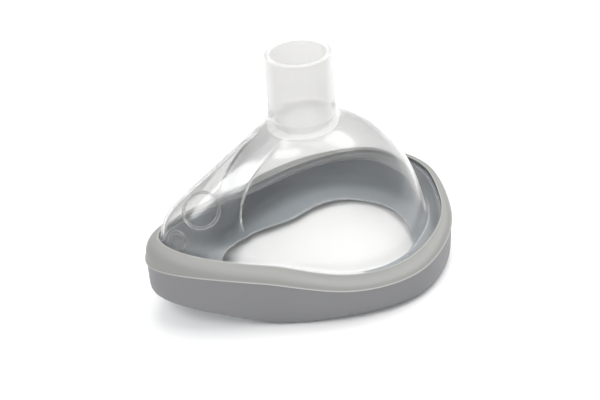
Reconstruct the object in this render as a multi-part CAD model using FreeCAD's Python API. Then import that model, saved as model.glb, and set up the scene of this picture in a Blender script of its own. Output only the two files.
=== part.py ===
import FreeCAD, Part
import os
from math import atan2, cos, radians, sin

# Anesthesia face mask, medium adult size, in millimetres.
# Two real pieces: a clear rigid shell with its connector, and a soft seal moulded on its brim.
# X runs from the nose (-X) to the chin (+X), Y across the face, and Z up from the table.
# The origin is on the table, under the middle of the mask. It is symmetric about Y = 0.

# Connector, a 22 mm female cone
BORE_MOUTH_DIAMETER = 22.37
BORE_TAPER = 1 / 40
BORE_DEPTH = 26.0
GAS_WAY_DIAMETER = 20.4
CONNECTOR_TOP_HEIGHT = 99.5
CONNECTOR_TOP_X = 15.0
CONNECTOR_LENGTH = 30.0
CONNECTOR_LEAN = 3.5
CONNECTOR_TOP_DIAMETER = 26.6
CONNECTOR_BASE_DIAMETER = 27.9
CONNECTOR_EDGE_BEVEL = 0.4

# Parting ridge of the seal, the widest line of the mask
CHIN_REACH = 71.8
CHIN_HALF_WIDTH = 38.5
HALF_WIDTH = 53.0
CHEEK_HALF_WIDTH = 33.0
NOSE_HALF_WIDTH = 13.5
NOSE_REACH = 64.0
CHIN_RIDGE_HEIGHT = 22.0
SIDE_RIDGE_HEIGHT = 15.9
CHEEK_RIDGE_HEIGHT = 24.3
NOSE_RIDGE_HEIGHT = 29.5

# Free edge of the seal's flap, round the face opening
OPENING_CHIN_REACH = 54.2
OPENING_HALF_WIDTH = 29.5
OPENING_WAIST_HALF_WIDTH = 25.3
OPENING_NOSE_REACH = 36.0
FREE_EDGE_LIFT = 1.5

# Seal section
LIP_THICKNESS = 1.2
LIP_INSET = 7.3
LIP_RISE = 1.6
CHIN_LIP_INSET = 3.8
CHIN_LIP_RISE = 2.0
NOSE_LIP_RISE = 9.5
GRIP_DEPTH = 2.6
ROOT_SHELF = 1.5
ROOT_LIP = 1.2
SEAL_WALL = 2.2
FLAP_THICKNESS = 1.0
NOSE_UNDERSIDE_HEIGHT = 13.0
SIDE_UNDERSIDE_HEIGHT = 1.4

# Shell
SHELL_WALL = 1.3
BRIM_WIDTH = 5.0
CHIN_BRIM_WIDTH = 8.0
NOSE_BRIM_WIDTH = 0.8
FOOT_RISE = 3.5
WALL_HEIGHT = 41.0
WALL_CHIN_REACH = 56.5
WALL_HALF_WIDTH = 38.0
PINCH_WALL_REACH = 24.0
PINCH_HALF_WIDTH = 11.5
HOOD_HALF_WIDTH = 19.5
NOSE_WALL_HEIGHT = 47.5
NOSE_WALL_REACH = 48.0
SHOULDER_HEIGHT = 57.0
SHOULDER_CHIN_REACH = 46.5
SHOULDER_HALF_WIDTH = 27.0
PINCH_SHOULDER_REACH = 17.0
PINCH_SHOULDER_HALF_WIDTH = 8.5
NOSE_SHOULDER_REACH = 30.0
COLLAR_BULGE = 1.0
COLLAR_FLARE = 1.2
COLLAR_ROOT = 1.6

# Sections round the mask, and strips across each skin
STATIONS = 44
DOME_STRIPS = 11
BAND_STRIPS = 3
SEAL_STRIPS = 9


def vector(x, y, z=0.0):
    return FreeCAD.Vector(x, y, z)


# Places round the half outline, from the chin to the nose. Each list below has a value for each:
# chin, chin side, chin corner, jaw, side, cheekbone, cheek, pinch, hood end, hood flank, nose corner, nose.

RIDGE = [
    vector(CHIN_REACH, 0, CHIN_RIDGE_HEIGHT),
    vector(CHIN_REACH * 0.93, CHIN_HALF_WIDTH * 0.53, CHIN_RIDGE_HEIGHT - 1),
    vector(CHIN_REACH * 0.80, CHIN_HALF_WIDTH, CHIN_RIDGE_HEIGHT - 3),
    vector(CHIN_REACH * 0.54, HALF_WIDTH * 0.97, SIDE_RIDGE_HEIGHT + 0.7),
    vector(CHIN_REACH * 0.29, HALF_WIDTH, SIDE_RIDGE_HEIGHT),
    vector(CHIN_REACH * 0.05, HALF_WIDTH * 0.92, SIDE_RIDGE_HEIGHT + 1),
    vector(NOSE_REACH * -0.17, CHEEK_HALF_WIDTH + 9, CHEEK_RIDGE_HEIGHT - 4.2),
    vector(NOSE_REACH * -0.36, CHEEK_HALF_WIDTH + 2, CHEEK_RIDGE_HEIGHT - 0.8),
    vector(NOSE_REACH * -0.50, CHEEK_HALF_WIDTH - 3, CHEEK_RIDGE_HEIGHT + 1.3),
    vector(NOSE_REACH * -0.67, CHEEK_HALF_WIDTH - 9, CHEEK_RIDGE_HEIGHT + 3.6),
    vector(NOSE_REACH * -0.89, NOSE_HALF_WIDTH, NOSE_RIDGE_HEIGHT + 0.3),
    vector(NOSE_REACH * -1.00, 0, NOSE_RIDGE_HEIGHT),
]

UNDERSIDE_HEIGHT = [
    SIDE_UNDERSIDE_HEIGHT,
    SIDE_UNDERSIDE_HEIGHT * 0.5,
    0.0,
    SIDE_UNDERSIDE_HEIGHT * 0.7,
    SIDE_UNDERSIDE_HEIGHT,
    SIDE_UNDERSIDE_HEIGHT,
    SIDE_UNDERSIDE_HEIGHT * 0.2,
    0.0,
    NOSE_UNDERSIDE_HEIGHT * 0.12,
    NOSE_UNDERSIDE_HEIGHT * 0.40,
    NOSE_UNDERSIDE_HEIGHT * 0.80,
    NOSE_UNDERSIDE_HEIGHT,
]

OPENING = [
    vector(OPENING_CHIN_REACH, 0),
    vector(OPENING_CHIN_REACH * 0.98, OPENING_HALF_WIDTH * 0.33),
    vector(OPENING_CHIN_REACH * 0.89, OPENING_HALF_WIDTH * 0.67),
    vector(OPENING_CHIN_REACH * 0.70, OPENING_HALF_WIDTH * 0.94),
    vector(OPENING_CHIN_REACH * 0.46, OPENING_HALF_WIDTH),
    vector(OPENING_CHIN_REACH * 0.21, OPENING_WAIST_HALF_WIDTH * 1.03),
    vector(OPENING_NOSE_REACH * -0.10, OPENING_WAIST_HALF_WIDTH),
    vector(OPENING_NOSE_REACH * -0.42, OPENING_WAIST_HALF_WIDTH * 0.87),
    vector(OPENING_NOSE_REACH * -0.62, OPENING_WAIST_HALF_WIDTH * 0.71),
    vector(OPENING_NOSE_REACH * -0.80, OPENING_WAIST_HALF_WIDTH * 0.48),
    vector(OPENING_NOSE_REACH * -0.94, OPENING_WAIST_HALF_WIDTH * 0.24),
    vector(OPENING_NOSE_REACH * -1.00, 0),
]

LIP_INSETS = [CHIN_LIP_INSET, CHIN_LIP_INSET, CHIN_LIP_INSET + 1] + [LIP_INSET] * 9
LIP_RISES = [CHIN_LIP_RISE] * 3 + [LIP_RISE] * 6 + [
    LIP_RISE * 0.75 + NOSE_LIP_RISE * 0.25,
    LIP_RISE * 0.3 + NOSE_LIP_RISE * 0.7,
    NOSE_LIP_RISE,
]
BRIM_WIDTHS = [CHIN_BRIM_WIDTH] * 2 + [CHIN_BRIM_WIDTH * 0.8] + [BRIM_WIDTH] * 3 + [
    BRIM_WIDTH * 0.8,
    BRIM_WIDTH * 0.6,
    BRIM_WIDTH * 0.4,
    NOSE_BRIM_WIDTH * 2,
    NOSE_BRIM_WIDTH,
    NOSE_BRIM_WIDTH,
]
FOOT_RISES = [FOOT_RISE] * 10 + [FOOT_RISE * 0.5, FOOT_RISE * 0.3]

WALL = [
    vector(WALL_CHIN_REACH, 0, WALL_HEIGHT),
    vector(WALL_CHIN_REACH * 0.97, WALL_HALF_WIDTH * 0.36, WALL_HEIGHT),
    vector(WALL_CHIN_REACH * 0.86, WALL_HALF_WIDTH * 0.70, WALL_HEIGHT),
    vector(WALL_CHIN_REACH * 0.64, WALL_HALF_WIDTH * 0.94, WALL_HEIGHT),
    vector(WALL_CHIN_REACH * 0.37, WALL_HALF_WIDTH, WALL_HEIGHT),
    vector(WALL_CHIN_REACH * 0.12, WALL_HALF_WIDTH * 0.90, WALL_HEIGHT),
    vector(PINCH_WALL_REACH * -0.38, WALL_HALF_WIDTH * 0.68, WALL_HEIGHT),
    vector(-PINCH_WALL_REACH, PINCH_HALF_WIDTH, WALL_HEIGHT),
    vector(-PINCH_WALL_REACH - 1.8, HOOD_HALF_WIDTH - 0.4, WALL_HEIGHT),
    vector(NOSE_WALL_REACH * -0.70, HOOD_HALF_WIDTH * 0.94, WALL_HEIGHT),
    vector(NOSE_WALL_REACH * -0.90, HOOD_HALF_WIDTH * 0.50, NOSE_WALL_HEIGHT - 2.5),
    vector(NOSE_WALL_REACH * -1.00, 0, NOSE_WALL_HEIGHT),
]

SHOULDER = [
    vector(SHOULDER_CHIN_REACH, 0, SHOULDER_HEIGHT),
    vector(SHOULDER_CHIN_REACH * 0.96, SHOULDER_HALF_WIDTH * 0.34, SHOULDER_HEIGHT),
    vector(SHOULDER_CHIN_REACH * 0.86, SHOULDER_HALF_WIDTH * 0.68, SHOULDER_HEIGHT),
    vector(SHOULDER_CHIN_REACH * 0.68, SHOULDER_HALF_WIDTH * 0.92, SHOULDER_HEIGHT + 0.5),
    vector(SHOULDER_CHIN_REACH * 0.44, SHOULDER_HALF_WIDTH, SHOULDER_HEIGHT + 1),
    vector(SHOULDER_CHIN_REACH * 0.19, SHOULDER_HALF_WIDTH * 0.90, SHOULDER_HEIGHT + 1),
    vector(PINCH_SHOULDER_REACH * -0.25, SHOULDER_HALF_WIDTH * 0.66, SHOULDER_HEIGHT + 0.5),
    vector(-PINCH_SHOULDER_REACH, PINCH_SHOULDER_HALF_WIDTH, SHOULDER_HEIGHT - 1),
    vector(-PINCH_SHOULDER_REACH - 2, PINCH_SHOULDER_HALF_WIDTH + 4.5, SHOULDER_HEIGHT - 2),
    vector(NOSE_SHOULDER_REACH * -0.78, PINCH_SHOULDER_HALF_WIDTH + 1.5, SHOULDER_HEIGHT - 2),
    vector(NOSE_SHOULDER_REACH * -0.94, PINCH_SHOULDER_HALF_WIDTH * 0.5, SHOULDER_HEIGHT - 1.5),
    vector(NOSE_SHOULDER_REACH * -1.00, 0, SHOULDER_HEIGHT + 0.5),
]


def mirrored(value):
    if isinstance(value, FreeCAD.Vector):
        return vector(value.x, -value.y, value.z)
    return value


def around(half):
    """The values at all stations round the mask, on a smooth curve through the half's places."""
    whole = list(half) + [mirrored(value) for value in half[-2:0:-1]]
    count = len(whole)
    values = []
    for station in range(STATIONS):
        position = station * count / STATIONS
        first = int(position)
        t = position - first
        before, start, end, after = (whole[(first + k) % count] for k in (-1, 0, 1, 2))
        values.append(
            start * (1 - 2.5 * t * t + 1.5 * t ** 3)
            + end * (0.5 * t + 2 * t * t - 1.5 * t ** 3)
            + before * (-0.5 * t + t * t - 0.5 * t ** 3)
            + after * (-0.5 * t * t + 0.5 * t ** 3)
        )
    return values


def ring_face(edges):
    """A ruled strip that is closed round the mask, between two rings of poles."""
    surface = Part.BSplineSurface()
    surface.buildFromPolesMultsKnots(
        edges, [2, 2], [1] * (STATIONS + 1), [0, 1], list(range(STATIONS + 1)), False, True, 1, 3
    )
    return surface.toShape()


def across(rows, strips):
    """Rings on the smooth skin over these rows of poles, a strip apart."""
    degree = min(3, len(rows) - 1)
    spans = len(rows) - degree
    rings = [[] for _ in range(strips)]
    for column in zip(*rows):
        curve = Part.BSplineCurve()
        ends = [degree + 1] + [1] * (spans - 1) + [degree + 1]
        curve.buildFromPolesMultsKnots(list(column), ends, list(range(spans + 1)), False, degree)
        for index, ring in enumerate(rings):
            ring.append(curve.value(spans * (index + 1) / strips))
    return rings


def ring_solid(profile):
    """A closed ring from the skins of its section, each of which starts where the last one ends."""
    faces = []
    ring = profile[-1][0][-1]
    for rows, strips in profile:
        for following in across([ring] + rows, strips):
            faces.append(ring_face([ring, following]))
            ring = following
    return Part.Solid(Part.Shell(Part.makeShell(faces).Faces))


def mix(start, end, share):
    return start + (end - start) * share


def lifted(point, height):
    return vector(point.x, point.y, height)


class Section:
    """The mask's cross-section at one station, drawn inward from the parting ridge."""

    def __init__(self, ridge, opening, underside, inset, rise, brim, foot_rise):
        self.ridge = ridge
        self.underside = underside
        self.inset = inset
        self.rise = rise
        self.brim = brim
        self.foot_rise = foot_rise
        across = lifted(opening, 0) - lifted(ridge, 0)
        self.reach = across.Length
        self.inward = across / self.reach
        self.depth = ridge.z - underside

    def at(self, inward, up):
        """A point this far inward from the parting ridge and this far above it."""
        return self.ridge + self.inward * inward + vector(0, 0, up)

    def brim_top(self, inward):
        return self.at(inward, self.rise - LIP_THICKNESS)

    def brim_under(self, inward):
        return self.at(inward, self.rise - LIP_THICKNESS - SHELL_WALL)


def sections():
    rings = [RIDGE, OPENING, UNDERSIDE_HEIGHT, LIP_INSETS, LIP_RISES, BRIM_WIDTHS, FOOT_RISES]
    return [Section(*values) for values in zip(*(around(half) for half in rings))]


def row(stations, point):
    return [point(station) for station in stations]


def brim_edge(station):
    return station.inset - GRIP_DEPTH


def shelf_edge(station):
    return station.inset + ROOT_SHELF


def seal_solid(stations):
    """The seal: a lip over the brim, a wall under the ridge, and a thin flap turned inward."""

    def outer(share_in, share_down):
        return row(stations, lambda s: s.at(s.reach * share_in, -s.depth * share_down))

    def inner(inward, share_down):
        return row(stations, lambda s: s.at(inward(s), -s.depth * share_down))

    ridge = row(stations, lambda s: s.at(0, 0))
    band = [
        row(stations, lambda s: s.at(s.inset * 0.04, s.rise * 0.60)),
        row(stations, lambda s: s.at(s.inset * 0.50, s.rise * 1.05)),
        row(stations, lambda s: s.at(s.inset, s.rise)),
    ]
    lip_end = row(stations, lambda s: s.brim_top(s.inset))
    groove_top = row(stations, lambda s: s.brim_top(brim_edge(s)))
    groove_end = row(stations, lambda s: s.brim_under(brim_edge(s)))
    groove_under = row(stations, lambda s: s.brim_under(shelf_edge(s)))
    inside = [
        row(stations, lambda s: s.brim_under(shelf_edge(s)) + vector(0, 0, -ROOT_LIP)),
        inner(lambda s: SEAL_WALL * 1.3, 0.22),
        inner(lambda s: SEAL_WALL + s.reach * 0.06, 0.62),
        row(stations, lambda s: s.at(s.reach * 0.24, -s.depth + SEAL_WALL)),
        row(stations, lambda s: s.at(s.reach * 0.60, -s.depth + FREE_EDGE_LIFT * 0.2 + FLAP_THICKNESS * 1.3)),
        row(stations, lambda s: s.at(s.reach, -s.depth + FREE_EDGE_LIFT + FLAP_THICKNESS)),
    ]
    free_edge = row(stations, lambda s: s.at(s.reach, -s.depth + FREE_EDGE_LIFT))
    outside = [
        row(stations, lambda s: s.at(s.reach * 0.60, -s.depth - FREE_EDGE_LIFT * 0.2)),
        outer(0.24, 1.0),
        outer(0.05, 0.92),
        outer(0.01, 0.45),
        ridge,
    ]
    return ring_solid([
        (band, BAND_STRIPS),
        ([lip_end], 1),
        ([groove_top], 1),
        ([groove_end], 1),
        ([groove_under], 1),
        (inside, SEAL_STRIPS),
        ([free_edge], 1),
        (outside, SEAL_STRIPS),
    ])


def connector_frame():
    """Top centre of the connector and the unit vectors down its axis and across it."""
    lean = radians(CONNECTOR_LEAN)
    top = vector(CONNECTOR_TOP_X, 0, CONNECTOR_TOP_HEIGHT)
    return top, vector(-sin(lean), 0, -cos(lean)), vector(cos(lean), 0, -sin(lean))


def collar_row(stations, radius, down):
    """A circle round the connector's axis, with a pole for each station."""
    top, axis, across = connector_frame()
    centre = top + axis * down
    points = []
    for station in stations:
        angle = atan2(station.ridge.y, station.ridge.x - centre.x)
        points.append(centre + across * (radius * cos(angle)) + vector(0, radius * sin(angle)))
    return points


def offset_rows(rows, distance):
    """The same net of poles, moved inward by the shell's wall."""
    moved = []
    for level, points in enumerate(rows):
        below = rows[max(level - 1, 0)]
        above = rows[min(level + 1, len(rows) - 1)]
        ring = []
        for k, point in enumerate(points):
            along = points[(k + 1) % STATIONS] - points[k - 1]
            up = above[k] - below[k]
            ring.append(point + along.cross(up).normalize() * -distance)
        moved.append(ring)
    return moved


def dome_solid(stations):
    """The domed shell with its nose hood, from the brim's edge up into the connector's wall."""
    wall = around(WALL)
    shoulder = around(SHOULDER)
    base_radius = CONNECTOR_BASE_DIAMETER / 2
    collar = collar_row(stations, base_radius + COLLAR_FLARE, CONNECTOR_LENGTH)
    root = collar_row(stations, base_radius - COLLAR_FLARE / 2, CONNECTOR_LENGTH - COLLAR_ROOT)
    shelf = row(stations, lambda s: s.brim_top(shelf_edge(s)))
    foot = row(stations, lambda s: s.brim_top(shelf_edge(s) + s.brim))
    rise = [
        mix(point, lifted(side, point.z), 0.10) + vector(0, 0, station.foot_rise)
        for point, side, station in zip(foot, wall, stations)
    ]
    upper = [
        mix(point, end, 0.58) + vector(0, 0, COLLAR_BULGE)
        for point, end in zip(shoulder, collar)
    ]
    outside = [foot, rise, wall, shoulder, upper, collar, root]
    inside = offset_rows([shelf] + outside, SHELL_WALL)[1:]
    shelf_under = row(stations, lambda s: s.brim_under(shelf_edge(s)))
    edge_top = row(stations, lambda s: s.brim_top(brim_edge(s)))
    edge_under = row(stations, lambda s: s.brim_under(brim_edge(s)))
    return ring_solid([
        ([edge_top], 1),
        ([shelf, foot], 2),
        (outside[1:], DOME_STRIPS),
        ([inside[-1]], 1),
        (inside[-2::-1], DOME_STRIPS),
        ([shelf_under], 1),
        ([edge_under], 1),
    ])


def connector_solid():
    """The connector turned about its own axis, then leaned and placed."""
    mouth = BORE_MOUTH_DIAMETER / 2
    seat = mouth - BORE_DEPTH * BORE_TAPER / 2
    way = GAS_WAY_DIAMETER / 2
    top_radius = CONNECTOR_TOP_DIAMETER / 2
    base_radius = CONNECTOR_BASE_DIAMETER / 2
    bevel = CONNECTOR_EDGE_BEVEL
    bottom = CONNECTOR_LENGTH + SHELL_WALL
    profile = [
        (mouth, 0),
        (top_radius - bevel, 0),
        (top_radius, bevel),
        (base_radius, CONNECTOR_LENGTH),
        (base_radius - bevel, bottom),
        (way, bottom),
        (way, BORE_DEPTH),
        (seat, BORE_DEPTH),
    ]
    outline = Part.makePolygon([vector(r, 0, -down) for r, down in profile + profile[:1]])
    turned = Part.Face(outline).revolve(vector(0, 0), vector(0, 0, 1), 360)
    turned.rotate(vector(0, 0), vector(0, 1, 0), CONNECTOR_LEAN)
    turned.translate(connector_frame()[0])
    return turned


def main():
    os.makedirs("parts", exist_ok=True)
    stations = sections()
    shell = dome_solid(stations).fuse(connector_solid())
    parts = {"shell": shell, "seal": seal_solid(stations)}
    box = parts["seal"].optimalBoundingBox(False)
    to_origin = vector(-(box.XMin + box.XMax) / 2, 0, -box.ZMin)
    print("moved to the origin by", [round(value, 3) for value in to_origin])
    for name, shape in parts.items():
        shape.translate(to_origin)
        solid = shape.Solids[0]
        box = solid.optimalBoundingBox(False)
        print(name, "solids", len(shape.Solids), "valid", shape.isValid(), "volume", round(shape.Volume))
        print("  x", round(box.XMin, 2), round(box.XMax, 2), "y", round(box.YMin, 2), round(box.YMax, 2),
              "z", round(box.ZMin, 2), round(box.ZMax, 2))
        solid.exportStep(f"parts/{name}.step")


main()
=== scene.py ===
# %% [markdown]
# # A clear anesthesia face mask
#
# The mask is a rigid clear moulding with a soft grey seal on its brim. The moulding has a bowl
# over the mouth, a pinched hood over the nose, and a milky tube on top that takes a breathing
# hose. Nothing moves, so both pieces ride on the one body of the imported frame. The lengths below
# are in millimetres, as on a drawing, and each mesh is turned into metres when its points are
# placed.

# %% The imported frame
import bpy, bmesh
from math import atan2, cos, radians, sin
from mathutils import Matrix, Vector
from mathutils.bvhtree import BVHTree


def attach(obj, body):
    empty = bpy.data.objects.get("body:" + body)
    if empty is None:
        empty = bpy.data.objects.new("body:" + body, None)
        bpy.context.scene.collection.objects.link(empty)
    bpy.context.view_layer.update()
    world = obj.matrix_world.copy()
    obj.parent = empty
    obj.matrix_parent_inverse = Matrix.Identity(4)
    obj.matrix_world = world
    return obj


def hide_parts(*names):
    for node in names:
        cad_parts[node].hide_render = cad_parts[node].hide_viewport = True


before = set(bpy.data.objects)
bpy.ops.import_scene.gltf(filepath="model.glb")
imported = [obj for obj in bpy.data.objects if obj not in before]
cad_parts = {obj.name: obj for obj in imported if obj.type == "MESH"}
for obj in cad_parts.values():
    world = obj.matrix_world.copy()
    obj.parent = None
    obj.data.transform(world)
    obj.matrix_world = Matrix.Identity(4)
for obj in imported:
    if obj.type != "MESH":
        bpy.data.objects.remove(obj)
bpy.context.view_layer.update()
print("frame:", sorted(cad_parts))

# %% [markdown]
# ## The half outline
#
# A mask is drawn from its plan outlines: the widest line of the seal, the opening for the face,
# and two contour lines on the dome. Each outline is given by twelve places from the chin to the
# nose on one side, and the other side mirrors it. A few places and a smooth curve give cleaner
# highlights than many points would.

# %% Units and place in the frame
MM = 0.001
TO_ORIGIN = Vector((-3.997, 0.0, 0.01))
STATIONS = 44


def flat(x, y, z=0.0):
    """A point of the drawing, in millimetres: x runs to the chin, y to the side and z up."""
    return Vector((x, y, z))


# %% Outlines of the seal
CHIN, SIDE, CHEEK, NOSE = 71.8, 53.0, 33.0, 64.0
RIDGE = [
    flat(CHIN, 0, 22), flat(CHIN * 0.93, 20.4, 20.9), flat(CHIN * 0.80, 38.5, 18.9),
    flat(CHIN * 0.54, SIDE * 0.97, 16.5), flat(CHIN * 0.29, SIDE, 15.9),
    flat(CHIN * 0.05, SIDE * 0.92, 16.9), flat(NOSE * -0.17, CHEEK * 1.27, 20.2),
    flat(NOSE * -0.36, CHEEK * 1.06, 23.6), flat(NOSE * -0.50, CHEEK * 0.91, 25.5),
    flat(NOSE * -0.67, CHEEK * 0.73, 27.9), flat(NOSE * -0.89, 13.5, 29.8), flat(-NOSE, 0, 29.5),
]
UNDERSIDE = [1.4, 0.7, 0.0, 1.0, 1.4, 1.4, 0.3, 0.0, 1.9, 6.4, 11.6, 13.6]
CHIN_OPEN, SIDE_OPEN, WAIST_OPEN, NOSE_OPEN = 54.2, 29.5, 25.3, 32.0
OPENING = [
    flat(CHIN_OPEN, 0), flat(CHIN_OPEN * 0.98, SIDE_OPEN * 0.33),
    flat(CHIN_OPEN * 0.89, SIDE_OPEN * 0.67), flat(CHIN_OPEN * 0.70, SIDE_OPEN * 0.94),
    flat(CHIN_OPEN * 0.46, SIDE_OPEN), flat(CHIN_OPEN * 0.21, WAIST_OPEN * 1.03),
    flat(NOSE_OPEN * -0.11, WAIST_OPEN * 1.08), flat(NOSE_OPEN * -0.44, WAIST_OPEN * 0.99),
    flat(NOSE_OPEN * -0.62, WAIST_OPEN * 0.78), flat(NOSE_OPEN * -0.76, WAIST_OPEN * 0.53),
    flat(NOSE_OPEN * -0.92, WAIST_OPEN * 0.26), flat(-NOSE_OPEN, 0),
]
EDGE_LIFT = [1.5] * 6 + [2.9, 3.95, 5.0, 4.3, 2.55, 1.5]
HEEL = [1.2] * 9 + [0.3, -1.0, -1.4]
LIP_INSET = [3.8, 3.8, 4.8] + [7.3] * 9
LIP_RISE = [3.6, 3.6, 3.4, 2.9, 2.6, 2.8, 3.2, 3.6, 3.6, 4.0, 6.4, 9.2]
BRIM = [8.0, 7.4, 5.2, 3.2, 2.4, 2.2, 2.0, 1.6, 1.0, 0.3, -0.6, -0.9]
print("seal in mm: length", CHIN + NOSE, "width", SIDE * 2)

# %% Outlines of the dome
BOWL, BOWL_SIDE, PINCH, HOOD, HOOD_NOSE, WALL_LEVEL = 56.5, 38.0, 26.0, 19.5, 51.5, 41
WALL = [
    flat(BOWL, 0, WALL_LEVEL), flat(BOWL * 0.97, BOWL_SIDE * 0.36, WALL_LEVEL),
    flat(BOWL * 0.86, BOWL_SIDE * 0.70, WALL_LEVEL),
    flat(BOWL * 0.64, BOWL_SIDE * 0.94, WALL_LEVEL), flat(BOWL * 0.37, BOWL_SIDE, WALL_LEVEL),
    flat(BOWL * 0.12, BOWL_SIDE * 0.90, WALL_LEVEL),
    flat(PINCH * -0.35, BOWL_SIDE * 0.68, WALL_LEVEL), flat(-PINCH, 11.5, WALL_LEVEL),
    flat(-PINCH - 2, HOOD, WALL_LEVEL), flat(HOOD_NOSE * -0.72, HOOD * 0.88, WALL_LEVEL),
    flat(HOOD_NOSE * -0.91, HOOD * 0.53, 46), flat(-HOOD_NOSE, 0, 49),
]
TOP, TOP_SIDE, TOP_PINCH, TOP_NOSE = 46.5, 27.0, 19.5, 32.0
SHOULDER = [
    flat(TOP, 0, 57), flat(TOP * 0.96, TOP_SIDE * 0.34, 57), flat(TOP * 0.86, TOP_SIDE * 0.68, 57),
    flat(TOP * 0.68, TOP_SIDE * 0.92, 57.6), flat(TOP * 0.44, TOP_SIDE, 58.1),
    flat(TOP * 0.19, TOP_SIDE * 0.90, 58.1), flat(TOP_PINCH * -0.22, TOP_SIDE * 0.66, 57.6),
    flat(-TOP_PINCH, 8.5, 56.1), flat(-TOP_PINCH - 2, 14.0, 55), flat(TOP_NOSE * -0.86, 9.9, 55),
    flat(TOP_NOSE * -0.97, 4.8, 57), flat(-TOP_NOSE, 0, 58.1),
]
FOOT_RISE = [3.5] * 10 + [3.0, 3.0]
BULGE = [1.0] * 9 + [1.75, 2.5, 2.5]
print("dome in mm: length", BOWL + HOOD_NOSE, "width", BOWL_SIDE * 2)


# %% A smooth closed outline
def mirrored(value):
    """The same value on the other side of the mask. A plain number has no side."""
    return flat(value.x, -value.y, value.z) if isinstance(value, Vector) else value


def around(half):
    """The values at every station round the mask, on a smooth curve through the half's places."""
    whole = list(half) + [mirrored(value) for value in half[-2:0:-1]]
    count = len(whole)
    values = []
    for station in range(STATIONS):
        position = station * count / STATIONS
        first = int(position)
        t = position - first
        before, start, end, after = (whole[(first + k) % count] for k in (-1, 0, 1, 2))
        values.append(
            start * (1 - 2.5 * t * t + 1.5 * t ** 3) + end * (0.5 * t + 2 * t * t - 1.5 * t ** 3)
            + before * (-0.5 * t + t * t - 0.5 * t ** 3) + after * (-0.5 * t * t + 0.5 * t ** 3)
        )
    return values


# %% [markdown]
# ## The section at each station
#
# Looked at in section, the seal and the brim lie on one line that runs inward from the widest
# line to the face opening. Everything round the rim is drawn on that line, so the brim always
# fits the seal's groove.

# %% One section
LIP_THICKNESS, SHELL_WALL, GRIP, SHELF = 1.2, 1.3, 2.6, 1.5


class Section:
    """The measures of one station. Inward is the way to the face opening."""

    def __init__(self, ridge, opening, underside, inset, rise, brim, foot_rise, bulge, lift, heel):
        self.ridge, self.inset, self.rise = ridge, inset, rise
        self.flange = SHELF + brim
        self.foot_rise, self.bulge, self.lift, self.heel = foot_rise, bulge, lift, heel
        run = flat(opening.x - ridge.x, opening.y - ridge.y)
        self.reach = run.length
        self.inward = run / self.reach
        self.depth = ridge.z - underside

    def at(self, inward, up):
        """A place measured from the widest line."""
        return self.ridge + self.inward * inward + flat(0, 0, up)

    def top(self, inward):
        """A place on the upper face of the brim."""
        return self.at(inward, self.rise - LIP_THICKNESS)

    def under(self, inward):
        """A place on the lower face of the brim."""
        return self.at(inward, self.rise - LIP_THICKNESS - SHELL_WALL)


halves = (RIDGE, OPENING, UNDERSIDE, LIP_INSET, LIP_RISE, BRIM, FOOT_RISE, BULGE, EDGE_LIFT, HEEL)
sections = [Section(*values) for values in zip(*(around(half) for half in halves))]
print("sections round the mask:", len(sections))


def ring(point):
    """One point for each section."""
    return [point(section) for section in sections]


# %% [markdown]
# ## Extruding a section round the mask
#
# A closed moulding can be made by extruding a loop of edges from one contour to the next and
# joining the last loop to the first. The loops then act as the control cage of a subdivision
# surface. This keeps the mesh light, and a crease on one loop sharpens just that line.

# %% From a shape to a piece
SMOOTHING_LEVELS = 2


def put_in_scene(name, data):
    """A new object at the origin that holds this data."""
    made = bpy.data.objects.new(name, data)
    bpy.context.scene.collection.objects.link(made)
    return made


def as_piece(name, shape, smooth=True):
    """Turn a finished bmesh into a piece of the scene."""
    for face in shape.faces:
        face.smooth = smooth
    mesh = bpy.data.meshes.new(name)
    shape.to_mesh(mesh)
    shape.free()
    print(name, "faces before smoothing:", len(mesh.polygons))
    return put_in_scene(name, mesh)


# %% From rings to a skin
def extruded_skin(name, rings, creases, tones):
    """A closed skin through the rings. Each ring has a crease, and a tone that a finish can read
    to paint light and shade.
    """
    skin = bmesh.new()
    station = skin.verts.layers.int.new("station")
    level = skin.verts.layers.int.new("level")
    # the tone carries painted light and shade, which the seal's finish reads through a colour ramp
    tone = skin.verts.layers.float.new("tone")
    bmesh.ops.create_circle(skin, cap_ends=False, radius=1, segments=len(rings[0]))
    skin.verts.ensure_lookup_table()
    for index, vert in enumerate(skin.verts):
        vert[station] = index
        vert.co = (rings[0][index] + TO_ORIGIN) * MM
    edges = skin.edges[:]
    for number, points in enumerate(rings[1:] + rings[:1], start=1):
        made = bmesh.ops.extrude_edge_only(skin, edges=edges)["geom"]
        edges = [part for part in made if isinstance(part, bmesh.types.BMEdge)]
        for vert in (part for part in made if isinstance(part, bmesh.types.BMVert)):
            vert[level] = number % len(rings)
            vert.co = (points[vert[station]] + TO_ORIGIN) * MM
    bmesh.ops.remove_doubles(skin, verts=skin.verts[:], dist=1e-7)
    bmesh.ops.recalc_face_normals(skin, faces=skin.faces[:])
    for vert in skin.verts:
        vert[tone] = tones[vert[level]]
    crease = skin.edges.layers.float.new("crease_edge")
    for edge in skin.edges:
        first, second = (vert[level] for vert in edge.verts)
        edge[crease] = creases[first] if first == second else 0
    piece = as_piece(name, skin)
    smoothing = piece.modifiers.new("smooth moulding", "SUBSURF")
    smoothing.levels = smoothing.render_levels = SMOOTHING_LEVELS
    return piece


# %% [markdown]
# ## The clear moulding
#
# Dome, hood and tube are one moulding, so they are one skin here: up the outside from the brim,
# over the rim of the tube, down its tapered bore, and back down the inside of the dome a wall's
# thickness away. A solidified surface would be quicker, but it can't hold a tapered bore.

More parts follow.
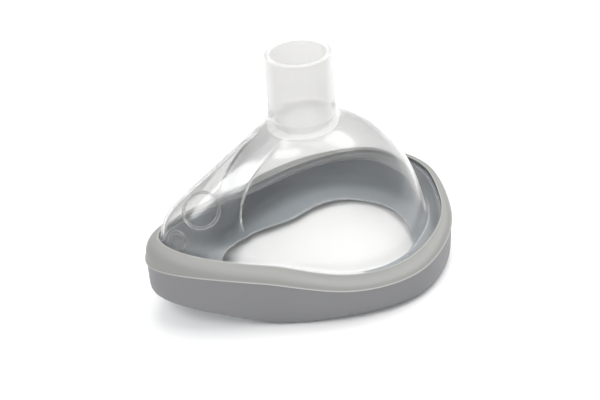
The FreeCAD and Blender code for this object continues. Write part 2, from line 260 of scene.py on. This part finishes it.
# %% The tube's circles
TUBE_TOP, TUBE_X, TUBE_LENGTH, LEAN = 99.5, 15.0, 30.0, radians(3.5)
TUBE_TOP_RADIUS, TUBE_WAIST_RADIUS, TUBE_BASE_RADIUS = 13.3, 13.65, 13.95
MOUTH_RADIUS, SEAT_RADIUS, WAY_RADIUS, BORE_DEPTH = 11.185, 10.86, 10.2, 26.0
COLLAR_FLARE, TUBE_EDGE = 1.2, 0.8
axis = Vector((-sin(LEAN), 0, -cos(LEAN)))
sideways = Vector((cos(LEAN), 0, -sin(LEAN)))


def circle(radius, down):
    """A circle about the tube's axis, with a point for each section."""
    centre = flat(TUBE_X, 0, TUBE_TOP) + axis * down
    points = []
    for section in sections:
        turn = atan2(section.ridge.y, section.ridge.x - centre.x)
        points.append(centre + sideways * (radius * cos(turn)) + flat(0, radius * sin(turn)))
    return points


def moved_in(rings, distance):
    """The same rings, moved inward across the skin by the wall's thickness."""
    moved = []
    for number, points in enumerate(rings):
        below, above = rings[max(number - 1, 0)], rings[min(number + 1, len(rings) - 1)]
        across = [
            (points[(k + 2) % STATIONS] - points[k - 2]).cross(above[k] - below[k]).normalized()
            for k in range(STATIONS)
        ]
        moved.append([point + way * -distance for point, way in zip(points, across)])
    return moved


# %% The dome's contours
SHELF_PART, BRIM_PART, SKIRT_LEAN, CROWN_PART = 0.3, 0.75, 0.10, 0.58
wall, shoulder = around(WALL), around(SHOULDER)
shelf = ring(lambda s: s.top(s.inset + s.flange * SHELF_PART))
foot = ring(lambda s: s.top(s.inset + s.flange))
skirt = [
    low + (flat(side.x, side.y, low.z) - low) * SKIRT_LEAN + flat(0, 0, s.foot_rise)
    for low, side, s in zip(foot, wall, sections)
]
collar = circle(TUBE_BASE_RADIUS + COLLAR_FLARE, TUBE_LENGTH)
crown = [
    low + (high - low) * CROWN_PART + flat(0, 0, s.bulge)
    for low, high, s in zip(shoulder, collar, sections)
]
outside = [foot, skirt, wall, shoulder, crown, collar]
inside = moved_in([shelf] + outside, SHELL_WALL)[1:-1]
print("contours outside and inside the dome:", len(outside), len(inside))

# %% The whole section of the moulding
tube = [
    circle(TUBE_BASE_RADIUS, TUBE_LENGTH - 2.4),
    circle(TUBE_WAIST_RADIUS, TUBE_LENGTH * 0.5),
    circle(TUBE_TOP_RADIUS, TUBE_EDGE),
    circle(TUBE_TOP_RADIUS, 0),
    circle(MOUTH_RADIUS, 0),
    circle(MOUTH_RADIUS - 0.01, TUBE_EDGE),
    circle(SEAT_RADIUS, BORE_DEPTH - 1),
    circle(SEAT_RADIUS, BORE_DEPTH),
    circle(WAY_RADIUS, BORE_DEPTH),
    circle(WAY_RADIUS, TUBE_LENGTH + SHELL_WALL),
    circle(TUBE_BASE_RADIUS - 1.4, TUBE_LENGTH + SHELL_WALL),
]
brim_out = [
    ring(lambda s: s.top(s.inset - GRIP)),
    shelf,
    ring(lambda s: s.top(s.inset + s.flange * BRIM_PART)),
]
brim_back = [
    ring(lambda s: s.under(s.inset + s.flange * BRIM_PART)),
    ring(lambda s: s.under(s.inset + s.flange * SHELF_PART)),
    ring(lambda s: s.under(s.inset - GRIP)),
]
shell_rings = brim_out + outside + tube + inside[::-1] + brim_back

# %% The moulding, sharp at the tube's rim, the bore's seat and the brim's edge
RIM_CREASE, BRIM_CREASE = 0.75, 0.8
first_tube = len(brim_out) + len(outside)
shell_creases = [0.0] * len(shell_rings)
for number in (3, 4, 7, 8, 9):
    shell_creases[first_tube + number] = RIM_CREASE
shell_creases[0] = shell_creases[-1] = BRIM_CREASE
shell = extruded_skin("clear_shell", shell_rings, shell_creases, [0.0] * len(shell_rings))
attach(shell, "root")
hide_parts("shell")

# %% [markdown]
# ## The soft seal
#
# The seal is moulded round the brim. Its lip covers the brim's edge, its wall stands on the face,
# and a thin flap turns inward to the opening. The first ring is the bead that the mould's parting
# line leaves. Each ring has a crease and a tone, and the tones are painted light and shade,
# because the light falls differently on the band, the wall and the flap of a matt elastomer, and
# one tone for all of them looks flat. The band and the flap are painted lit, the wall shaded, the
# groove and the heel in painted shadow, and the bead and the lip's edge carry a painted highlight.

# %% The seal's section, once round: crease, tone of painted light and shade, and place
SEAL_WALL, FLAP, ROOT_LIP, BEAD, BEAD_ROOT = 2.2, 1.0, 1.2, 0.4, 0.1
# The tones are painted light and shade: a highlight on the bead, the lit band, the shaded wall,
# the root in painted shadow, the lit flap and its lit free edge
SHADING_TONES = 6
BEAD_HIGHLIGHT, LIT_BAND, SHADED_WALL, SHADOWED_ROOT, LIT_FLAP, LIT_EDGE = (
    step / (SHADING_TONES - 1) for step in range(SHADING_TONES))
SEAL_SECTION = [
    # the bead, and the band that turns in over the brim
    # a painted highlight on the bead, then the band painted lit from above
    (1.0, BEAD_HIGHLIGHT, lambda s: s.at(-BEAD, 0)),
    (0.7, LIT_BAND, lambda s: s.at(BEAD_ROOT, BEAD)),
    (0.0, LIT_BAND, lambda s: s.at(s.inset * 0.12, s.rise * 0.62)),
    (0.0, LIT_BAND, lambda s: s.at(s.inset * 0.50, s.rise * 0.98)),
    (0.0, LIT_BAND, lambda s: s.at(s.inset * 0.90, s.rise * 1.02)),
    # a painted highlight along the lip's edge, in the bead's tone
    (0.6, BEAD_HIGHLIGHT, lambda s: s.at(s.inset, s.rise)),
    # the groove that grips the brim
    # painted shadow on the groove and down the inner face of the wall, under the brim
    (0.6, SHADOWED_ROOT, lambda s: s.top(s.inset)),
    (0.8, SHADOWED_ROOT, lambda s: s.top(s.inset - GRIP)),
    (0.8, SHADOWED_ROOT, lambda s: s.under(s.inset - GRIP)),
    (0.8, SHADOWED_ROOT, lambda s: s.under(s.inset + SHELF)),
    (0.0, SHADOWED_ROOT, lambda s: s.under(s.inset + SHELF) + flat(0, 0, -ROOT_LIP)),
    # down the inner face of the wall
    (0.0, SHADOWED_ROOT, lambda s: s.at(SEAL_WALL * 1.3, -s.depth * 0.22)),
    (0.0, SHADOWED_ROOT, lambda s: s.at(SEAL_WALL + s.reach * 0.06, -s.depth * 0.62)),
    (0.0, SHADOWED_ROOT, lambda s: s.at(s.reach * 0.24, -s.depth + SEAL_WALL)),
    # in along the flap to its free edge
    # painted light on the flap, lightest at its free edge
    (0.0, LIT_FLAP, lambda s: s.at(s.reach * 0.60, -s.depth + s.lift * 0.2 + FLAP * 1.3)),
    (0.0, LIT_FLAP, lambda s: s.at(s.reach * 0.96, -s.depth + s.lift * 0.94 + FLAP)),
    (0.5, LIT_EDGE, lambda s: s.at(s.reach, -s.depth + s.lift + FLAP)),
    (0.5, LIT_EDGE, lambda s: s.at(s.reach, -s.depth + s.lift)),
    # back under the flap, round the heel and up the outer face
    # painted shade under the flap and on the outer wall, with a painted shadow line at the heel
    (0.0, SHADED_WALL, lambda s: s.at(s.reach * 0.60, -s.depth)),
    (0.2, SHADOWED_ROOT, lambda s: s.at(s.heel + s.reach * 0.20, -s.depth)),
    (0.2, SHADED_WALL, lambda s: s.at(s.heel, -s.depth * 0.94)),
    (0.0, SHADED_WALL, lambda s: s.at(s.heel * 0.3, -s.depth * 0.45)),
    (0.7, SHADED_WALL, lambda s: s.at(BEAD_ROOT, -BEAD)),
]
seal_creases, seal_tones, seal_points = zip(*SEAL_SECTION)
seal = extruded_skin("soft_seal", [ring(point) for point in seal_points], seal_creases, seal_tones)
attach(seal, "root")
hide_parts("seal")

# %% Painted light on the flap and its root at both ends of the mask, most at the nose, where light comes through the hood
NOSE_PAINTED_LIGHT, CHIN_PAINTED_LIGHT = 0.35, 0.08
PAINTED_LIGHT_FROM, NOSE_FADE, CHIN_FADE = 25, 20, 25
for vert, tone in zip(seal.data.vertices, seal.data.attributes["tone"].data):
    towards_nose = min(max((-vert.co.x / MM - PAINTED_LIGHT_FROM) / NOSE_FADE, 0), 1)
    towards_chin = min(max((vert.co.x / MM - PAINTED_LIGHT_FROM) / CHIN_FADE, 0), 1)
    if tone.value > (SHADED_WALL + SHADOWED_ROOT) / 2:
        with_painted_light = tone.value + towards_nose * NOSE_PAINTED_LIGHT + towards_chin * CHIN_PAINTED_LIGHT
        tone.value = min(with_painted_light, LIT_EDGE)

# %% [markdown]
# ## Finishes
#
# Moulded plastic is never quite even: its gloss changes a little with flow lines and handling.
# That is the same effect on both pieces, so it is one node group, with its own scale and range
# for each.

# %% The unevenness of a moulded surface
GRAIN_SCALE = 2600


def set_sockets(node, values):
    """Give plain values to a node's input sockets."""
    for socket, value in values.items():
        node.inputs[socket].default_value = value


def moulded_unevenness():
    """A group that puts out an uneven amount between Low and High, and a fine grain."""
    group = bpy.data.node_groups.new("moulded unevenness", "ShaderNodeTree")
    for name in ("Scale", "Low", "High"):
        group.interface.new_socket(name, in_out="INPUT", socket_type="NodeSocketFloat")
    for name in ("Amount", "Grain"):
        group.interface.new_socket(name, in_out="OUTPUT", socket_type="NodeSocketFloat")
    nodes, link = group.nodes, group.links.new
    given, result = nodes.new("NodeGroupInput"), nodes.new("NodeGroupOutput")
    place, spread = nodes.new("ShaderNodeTexCoord"), nodes.new("ShaderNodeMapRange")
    broad, fine = nodes.new("ShaderNodeTexNoise"), nodes.new("ShaderNodeTexNoise")
    set_sockets(broad, {"Detail": 3})
    set_sockets(fine, {"Scale": GRAIN_SCALE})
    set_sockets(spread, {"From Min": 0.3, "From Max": 0.7})
    link(place.outputs["Object"], broad.inputs["Vector"])
    link(place.outputs["Object"], fine.inputs["Vector"])
    link(given.outputs["Scale"], broad.inputs["Scale"])
    link(broad.outputs["Fac"], spread.inputs["Value"])
    link(given.outputs["Low"], spread.inputs["To Min"])
    link(given.outputs["High"], spread.inputs["To Max"])
    link(spread.outputs["Result"], result.inputs["Amount"])
    link(fine.outputs["Fac"], result.inputs["Grain"])
    return group


unevenness = moulded_unevenness()
print("shared effect:", unevenness.name)


def plain_material(name):
    """A new material with its nodes, its Principled shader and one placed unevenness group."""
    material = bpy.data.materials.new(name)
    material.use_nodes = True
    nodes = material.node_tree.nodes
    uneven = nodes.new("ShaderNodeGroup")
    uneven.node_tree = unevenness
    return material, nodes, material.node_tree.links.new, nodes["Principled BSDF"], uneven


# %% [markdown]
# ## Clear and milky plastic
#
# The dome is as clear as glass but thin, so it hardly bends the light, and it shows mostly by its
# pale edges and its reflections. Refraction alone would leave a dark shadow under it. So shadow
# rays pass with a tint, which keeps the floor under the plastic bright, and a haze is mixed in
# where the wall is seen edge-on. The tube is the same plastic, but its matt mould makes it milky.

# %% Light that passes through
HAZE_STEEPNESS, HAZE_COLOUR = 4, (0.70, 0.70, 0.695, 1)


def lets_light_through(material, tint, edge_haze):
    """Mix an edge haze into the shader, and let shadow rays pass with a tint."""
    nodes, link = material.node_tree.nodes, material.node_tree.links.new
    facing, haze = nodes.new("ShaderNodeLayerWeight"), nodes.new("ShaderNodeBsdfDiffuse")
    path, passing = nodes.new("ShaderNodeLightPath"), nodes.new("ShaderNodeBsdfTransparent")
    edge, mix = nodes.new("ShaderNodeMixShader"), nodes.new("ShaderNodeMixShader")
    steep, amount = nodes.new("ShaderNodeMath"), nodes.new("ShaderNodeMath")
    steep.operation, amount.operation = "POWER", "MULTIPLY"
    set_sockets(steep, {1: HAZE_STEEPNESS})
    set_sockets(amount, {1: edge_haze})
    set_sockets(facing, {"Blend": 0.5})
    set_sockets(haze, {"Color": HAZE_COLOUR})
    set_sockets(passing, {"Color": (tint, tint, tint, 1)})
    link(facing.outputs["Facing"], steep.inputs[0])
    link(steep.outputs["Value"], amount.inputs[0])
    link(amount.outputs["Value"], edge.inputs["Fac"])
    link(nodes["Principled BSDF"].outputs["BSDF"], edge.inputs[1])
    link(haze.outputs["BSDF"], edge.inputs[2])
    link(path.outputs["Is Shadow Ray"], mix.inputs["Fac"])
    link(edge.outputs["Shader"], mix.inputs[1])
    link(passing.outputs["BSDF"], mix.inputs[2])
    link(mix.outputs["Shader"], nodes["Material Output"].inputs["Surface"])


# %% The two plastics
def moulded_plastic(name, gloss, sockets, tint, edge_haze):
    """A plastic with an uneven gloss that lets light through."""
    material, nodes, link, shader, uneven = plain_material(name)
    set_sockets(uneven, gloss)
    set_sockets(shader, sockets)
    link(uneven.outputs["Amount"], shader.inputs["Roughness"])
    lets_light_through(material, tint, edge_haze)
    return material


clear = moulded_plastic(
    "clear plastic", {"Scale": 60, "Low": 0.03, "High": 0.09},
    {"Base Color": (0.745, 0.745, 0.74, 1), "Transmission Weight": 0.98, "IOR": 1.12,
     "Coat Weight": 0.8, "Coat Roughness": 0.15},
    tint=0.75, edge_haze=0.7)
milky = moulded_plastic(
    "milky plastic", {"Scale": 90, "Low": 0.12, "High": 0.18},
    {"Base Color": (0.78, 0.777, 0.766, 1), "Transmission Weight": 0.62, "IOR": 1.08,
     "Coat Weight": 0.5, "Coat Roughness": 0.12},
    tint=0.75, edge_haze=0.6)

# %% Which faces are the tube
PAST_THE_FOOT, PAST_THE_SIDE = 1.5, 0.3
shell.data.materials.append(clear)
shell.data.materials.append(milky)
for polygon in shell.data.polygons:
    centre = polygon.center / MM - TO_ORIGIN - flat(TUBE_X, 0, TUBE_TOP)
    down = centre.dot(axis)
    off_axis = (centre - axis * down).length
    if down < TUBE_LENGTH + PAST_THE_FOOT and off_axis < TUBE_BASE_RADIUS + PAST_THE_SIDE:
        polygon.material_index = 1
print("milky faces:", sum(polygon.material_index for polygon in shell.data.polygons))

# %% [markdown]
# ## Two raised rings on the hood
#
# The moulding carries two raised rings on the flank of its hood. They could be painted as a bump,
# but a ring that is really there catches the light from every side. Each is a small circle spun
# about an axis, then laid down on the dome along that axis, so that it follows the curve of the
# flank.

# %% Raised rings
RING_THICKNESS, RING_SIDES, RING_STEPS, CLEAR_OF_DOME = 0.7, 10, 56, 6
dome = BVHTree.FromObject(shell, bpy.context.evaluated_depsgraph_get())


def raised_ring(name, place, outward, radius):
    """A ring round this place, laid down on the dome against the outward direction."""
    outward = outward.normalized()
    turn = outward.to_track_quat("Z", "X").to_matrix()
    profile = Matrix.Translation((radius, 0, 0)) @ Matrix.Rotation(radians(90), 4, "X")
    made = bmesh.new()
    bmesh.ops.create_circle(
        made, cap_ends=False, radius=RING_THICKNESS, segments=RING_SIDES, matrix=profile)
    bmesh.ops.spin(
        made, geom=made.verts[:] + made.edges[:], cent=(0, 0, 0), axis=(0, 0, 1),
        angle=radians(360), steps=RING_STEPS, use_merge=True)
    bmesh.ops.remove_doubles(made, verts=made.verts[:], dist=1e-5)
    bmesh.ops.recalc_face_normals(made, faces=made.faces[:])
    for vert in made.verts:
        above = place + TO_ORIGIN + turn @ flat(vert.co.x, vert.co.y, CLEAR_OF_DOME)
        skin = dome.ray_cast(above * MM, -outward)[0]
        vert.co = skin + outward * (vert.co.z * MM)
    piece = as_piece(name, made)
    piece.data.materials.append(clear)
    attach(piece, "root")


raised_ring("large_raised_ring", flat(-38.6, -8.0, 50.9), flat(-0.35, -0.65, 0.68), 7.2)
raised_ring("small_raised_ring", flat(-50.3, -7.8, 40.3), flat(-0.69, -0.67, 0.28), 3.9)

# %% [markdown]
# ## Soft grey elastomer
#
# The seal is a matt elastomer. Its colour follows the tone that each ring of its section carries,
# through a colour ramp, so a change of tone always lies along the mask and never across it. The
# ramp's colours are painted light and shade: a painted highlight, a lit grey, a shaded grey, a
# painted shadow, and a lit grey-blue for the flap that is lightest at its free edge.

# %% Soft grey elastomer
# painted light and shade on the seal: one colour for each tone
PAINTED_LIGHT_AND_SHADE = {
    BEAD_HIGHLIGHT: (0.42, 0.42, 0.40, 1), LIT_BAND: (0.250, 0.250, 0.240, 1),
    SHADED_WALL: (0.190, 0.191, 0.198, 1), SHADOWED_ROOT: (0.135, 0.160, 0.182, 1),
    LIT_FLAP: (0.285, 0.318, 0.343, 1), LIT_EDGE: (0.43, 0.45, 0.465, 1),
}
rubber, nodes, link, shader, uneven = plain_material("soft grey elastomer")
set_sockets(uneven, {"Scale": 45, "Low": 0.40, "High": 0.52})
set_sockets(shader, {"IOR": 1.43})
seal_tone = nodes.new("ShaderNodeAttribute")
seal_tone.attribute_name = "tone"
light_and_shade_ramp = nodes.new("ShaderNodeValToRGB")
stops = light_and_shade_ramp.color_ramp.elements
while len(stops) < len(PAINTED_LIGHT_AND_SHADE):
    stops.new(0.5)
for stop, (position, colour) in zip(stops, PAINTED_LIGHT_AND_SHADE.items()):
    stop.position = position
    stop.color = colour
grain = nodes.new("ShaderNodeBump")
set_sockets(grain, {"Strength": 0.015, "Distance": 0.0002})
link(seal_tone.outputs["Fac"], light_and_shade_ramp.inputs["Fac"])
link(light_and_shade_ramp.outputs["Color"], shader.inputs["Base Color"])
link(uneven.outputs["Amount"], shader.inputs["Roughness"])
link(uneven.outputs["Grain"], grain.inputs["Height"])
link(grain.outputs["Normal"], shader.inputs["Normal"])
seal.data.materials.append(rubber)
print("tones of the seal:", len(stops))

# %% [markdown]
# ## The studio
#
# The photograph is high key: a white floor, light from all round and a large soft light overhead.
# The mask's shape then shows through soft shading on the seal and the pale edges of the clear
# plastic. The softbox at the front left only fills, so it isn't seen in the plastic.

# %% Floor
floor_shape = bmesh.new()
bmesh.ops.create_grid(floor_shape, x_segments=1, y_segments=1, size=3)
floor = as_piece("floor", floor_shape, smooth=False)
white, nodes, link, shader, uneven = plain_material("white table")
nodes.remove(uneven)
set_sockets(shader, {
    "Base Color": (0.9, 0.9, 0.9, 1), "Roughness": 0.3, "Specular IOR Level": 0.3})
floor.data.materials.append(white)

# %% Lights
AIM = Vector((0, 0, 0.03))


def softbox(name, place, size, energy, reflected):
    """A round soft light at this place in metres, aimed at the mask."""
    lamp = bpy.data.lights.new(name, "AREA")
    lamp.shape = "DISK"
    lamp.size = size
    lamp.energy = energy
    light = put_in_scene(name, lamp)
    light.location = place
    light.visible_glossy = reflected
    light.rotation_mode = "QUATERNION"
    light.rotation_quaternion = (AIM - Vector(place)).to_track_quat("-Z", "Y")
    print(name, "softbox,", energy, "W")


softbox("overhead", (0.4, 0.05, 1.0), size=1.2, energy=11, reflected=True)
softbox("front left", (-0.5, -0.6, 0.9), size=1.0, energy=2.5, reflected=False)
softbox("highlight", (-0.45, -0.30, 0.85), size=0.35, energy=2, reflected=True)
world = bpy.data.worlds.new("studio")
world.use_nodes = True
set_sockets(world.node_tree.nodes["Background"], {"Color": (1, 1, 1, 1), "Strength": 0.74})
bpy.context.scene.world = world
bpy.context.scene.view_settings.view_transform = "Standard"

# %% Camera
CAMERA_PLACE = flat(-116.65, -321.24, 272.87)
TURN, TILT, ROLL = radians(-21.0), radians(35.0), radians(8.617)
camera_data = bpy.data.cameras.new("camera")
camera_data.lens = 59.1
camera_data.sensor_width = 36
camera = put_in_scene("camera", camera_data)
back = Vector((sin(TURN) * cos(TILT), -cos(TURN) * cos(TILT), sin(TILT)))
level_right = Vector((cos(TURN), sin(TURN), 0))
level_up = back.cross(level_right)
right = level_right * cos(ROLL) - level_up * sin(ROLL)
up = level_up * cos(ROLL) + level_right * sin(ROLL)
axes = Matrix((right, up, back)).transposed().to_4x4()
camera.matrix_world = Matrix.Translation((CAMERA_PLACE + TO_ORIGIN) * MM) @ axes
bpy.context.scene.camera = camera
